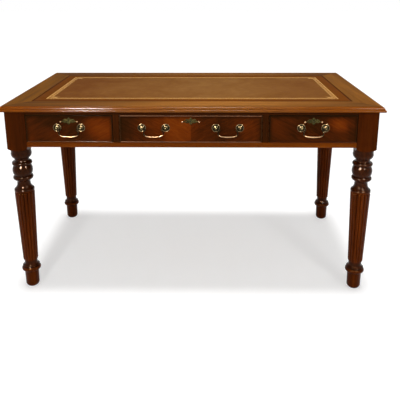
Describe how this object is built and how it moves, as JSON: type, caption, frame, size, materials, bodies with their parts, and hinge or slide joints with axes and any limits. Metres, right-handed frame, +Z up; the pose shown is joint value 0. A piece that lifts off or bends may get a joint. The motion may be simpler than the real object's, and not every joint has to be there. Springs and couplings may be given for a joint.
{
  "type": "writing table",
  "caption": "Library writing table with a leather-lined moulded top, cock-beaded frieze drawers with swan-neck bails and turned, reeded, tapering legs.",
  "frame": {"origin": "on the floor, under the middle of the top", "axes": "+X along the table's width, to the right as seen from the front; +Y from the front to the back; +Z up"},
  "size_m": [1.47, 0.79, 0.786],
  "materials": {
    "top_border_wood": "french-polished golden-brown mahogany",
    "frame_wood": "unpolished mahogany",
    "writing_leather": "waxed brown hide with gilt tooling",
    "leg_wood": "french-polished dark mahogany",
    "frieze_wood": "french-polished mahogany",
    "secondary_wood": "bare pine",
    "drawer_veneer": "french-polished flame mahogany",
    "drawer_lining": "bare oak",
    "bead_wood": "polished dark mahogany",
    "brass_fittings": "aged lacquered brass",
    "lock_steel": "brushed, slightly dull",
    "iron": "dull"
  },
  "bodies": {
    "carcase": {"top_border_front": "top_border_wood", "top_border_back": "top_border_wood", "top_border_left": "top_border_wood", "top_border_right": "top_border_wood", "top_core": "frame_wood", "leather_panel": "writing_leather", "leg_front_left": "leg_wood", "leg_front_right": "leg_wood", "leg_back_left": "leg_wood", "leg_back_right": "leg_wood", "apron_left": "frieze_wood", "apron_right": "frieze_wood", "apron_back": "frieze_wood", "front_top_rail": "frieze_wood", "front_bottom_rail": "frieze_wood", "muntin_left": "frieze_wood", "muntin_right": "frieze_wood", "drawer_runners": "secondary_wood", "drawer_guides": "secondary_wood", "drawer_kickers": "secondary_wood", "drawer_stops": "secondary_wood", "top_buttons": "secondary_wood", "button_screws": "iron"},
    "left_drawer": {"left_drawer_front": "drawer_veneer", "left_drawer_sides": "drawer_lining", "left_drawer_back": "drawer_lining", "left_drawer_bottom": "drawer_lining", "left_cock_bead": "bead_wood", "left_escutcheon": "brass_fittings", "left_lock_case": "lock_steel", "left_rosettes": "brass_fittings", "left_handle_posts": "brass_fittings"},
    "left_bolt": {"left_lock_bolt": "lock_steel"},
    "left_handle": {"left_bail": "brass_fittings"},
    "centre_drawer": {"centre_drawer_front": "drawer_veneer", "centre_drawer_sides": "drawer_lining", "centre_drawer_back": "drawer_lining", "centre_drawer_bottom": "drawer_lining", "centre_cock_bead": "bead_wood", "centre_escutcheon": "brass_fittings", "centre_lock_case": "lock_steel", "centre_rosettes": "brass_fittings", "centre_handle_posts": "brass_fittings"},
    "centre_bolt": {"centre_lock_bolt": "lock_steel"},
    "centre_handle_left": {"centre_bail_left": "brass_fittings"},
    "centre_handle_right": {"centre_bail_right": "brass_fittings"},
    "right_drawer": {"right_drawer_front": "drawer_veneer", "right_drawer_sides": "drawer_lining", "right_drawer_back": "drawer_lining", "right_drawer_bottom": "drawer_lining", "right_cock_bead": "bead_wood", "right_escutcheon": "brass_fittings", "right_lock_case": "lock_steel", "right_rosettes": "brass_fittings", "right_handle_posts": "brass_fittings"},
    "right_bolt": {"right_lock_bolt": "lock_steel"},
    "right_handle": {"right_bail": "brass_fittings"}
  },
  "joints": [
    {"name": "left_drawer_slide", "type": "slide", "parent": "carcase", "child": "left_drawer", "axis": [0, -1, 0], "range_m": [0, 0.42]},
    {"name": "left_bolt_throw", "type": "slide", "parent": "left_drawer", "child": "left_bolt", "axis": [0, 0, 1], "range_m": [0, 0.008]},
    {"name": "left_handle_swing", "type": "hinge", "parent": "left_drawer", "child": "left_handle", "pos_m": [-0.468, -0.3866, 0.6995], "axis": [-1, 0, 0], "range_deg": [-15, 150]},
    {"name": "centre_drawer_slide", "type": "slide", "parent": "carcase", "child": "centre_drawer", "axis": [0, -1, 0], "range_m": [0, 0.42]},
    {"name": "centre_bolt_throw", "type": "slide", "parent": "centre_drawer", "child": "centre_bolt", "axis": [0, 0, 1], "range_m": [0, 0.008]},
    {"name": "centre_handle_left_swing", "type": "hinge", "parent": "centre_drawer", "child": "centre_handle_left", "pos_m": [-0.142, -0.3866, 0.6995], "axis": [-1, 0, 0], "range_deg": [-15, 150]},
    {"name": "centre_handle_right_swing", "type": "hinge", "parent": "centre_drawer", "child": "centre_handle_right", "pos_m": [0.142, -0.3866, 0.6995], "axis": [-1, 0, 0], "range_deg": [-15, 150]},
    {"name": "right_drawer_slide", "type": "slide", "parent": "carcase", "child": "right_drawer", "axis": [0, -1, 0], "range_m": [0, 0.42]},
    {"name": "right_bolt_throw", "type": "slide", "parent": "right_drawer", "child": "right_bolt", "axis": [0, 0, 1], "range_m": [0, 0.008]},
    {"name": "right_handle_swing", "type": "hinge", "parent": "right_drawer", "child": "right_handle", "pos_m": [0.468, -0.3866, 0.6995], "axis": [-1, 0, 0], "range_deg": [-15, 150]}
  ]
}
